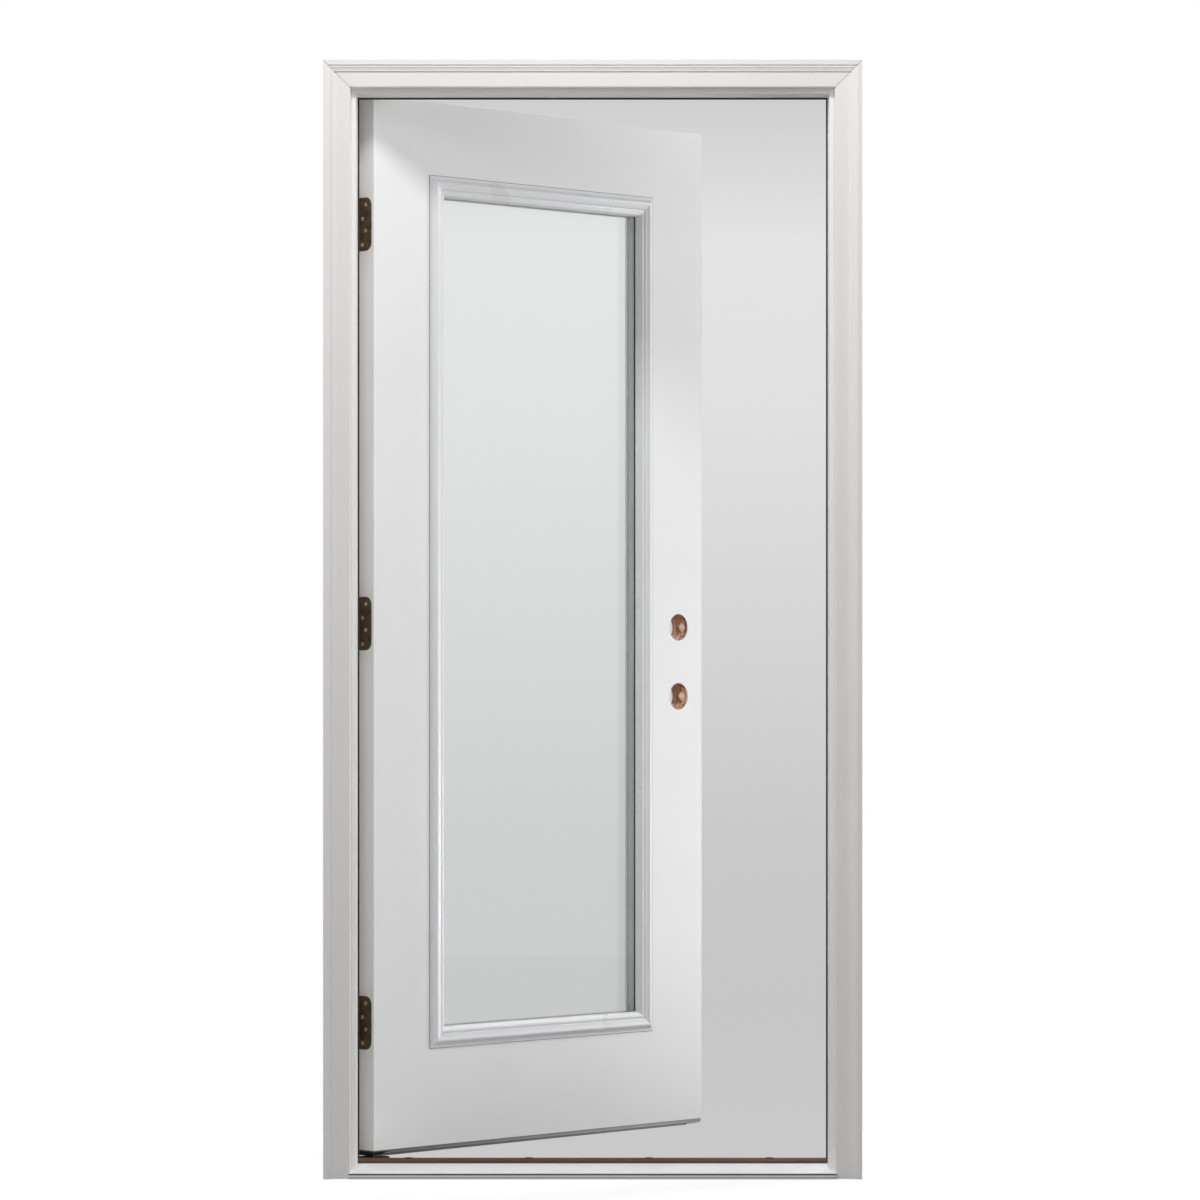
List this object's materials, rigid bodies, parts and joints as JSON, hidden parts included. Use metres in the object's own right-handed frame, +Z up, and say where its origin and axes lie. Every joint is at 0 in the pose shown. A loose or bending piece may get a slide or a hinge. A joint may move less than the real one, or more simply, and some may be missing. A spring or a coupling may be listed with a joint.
{
  "type": "prehung fiberglass entry door",
  "caption": "White inswing entry door with a tall glass lite, hung in a rabbeted frame with brickmould and a sloped sill, bored for a lockset and a deadbolt.",
  "frame": {"origin": "under the sill, midway between the side jambs, level with their exterior edges", "axes": "+X to the right seen from outside, +Y into the house, +Z up"},
  "size_m": [1.0096, 0.7911, 2.0963],
  "materials": {
    "white_frame": "satin white composite",
    "white_slab": "smooth fiberglass, satin white",
    "white_edge": "white composite edge",
    "lite_frame": "moulded, satin white",
    "sill_aluminium": "mill finish, satin",
    "sill_composite": "composite",
    "brown_cap": "dark brown vinyl",
    "dark_seal": "soft dark seal",
    "sweep_vinyl": "soft taupe vinyl",
    "bronze": "dark oil rubbed bronze",
    "block_wood": "reddish laminated wood",
    "foam": "rigid foam",
    "clear_glass": "clear insulating glass",
    "spacer": "grey"
  },
  "bodies": {
    "frame": {"hinge_jamb": "white_frame", "strike_jamb": "white_frame", "head_jamb": "white_frame", "left_brickmould": "white_frame", "right_brickmould": "white_frame", "head_brickmould": "white_frame", "sill_deck": "sill_aluminium", "sill_base": "sill_composite", "sill_cap": "brown_cap", "hinge_side_weatherstrip": "dark_seal", "strike_side_weatherstrip": "dark_seal", "head_weatherstrip": "dark_seal", "upper_hinge_frame_leaf": "bronze", "upper_hinge_pin": "bronze", "middle_hinge_frame_leaf": "bronze", "middle_hinge_pin": "bronze", "lower_hinge_frame_leaf": "bronze", "lower_hinge_pin": "bronze"},
    "door": {"exterior_skin": "white_slab", "interior_skin": "white_slab", "hinge_stile": "white_edge", "lock_stile": "white_edge", "top_rail": "white_edge", "bottom_rail": "white_edge", "lock_block": "block_wood", "foam_core": "foam", "exterior_lite_frame": "lite_frame", "interior_lite_frame": "lite_frame", "exterior_glass": "clear_glass", "interior_glass": "clear_glass", "glass_spacer": "spacer", "door_sweep": "sweep_vinyl", "upper_hinge_door_leaf": "bronze", "middle_hinge_door_leaf": "bronze", "lower_hinge_door_leaf": "bronze"}
  },
  "joints": [
    {"name": "door_swing", "type": "hinge", "parent": "frame", "child": "door", "pos_m": [-0.4546, 0.1239, 0], "axis": [0, 0, 1], "range_deg": [-45, 135]}
  ]
}
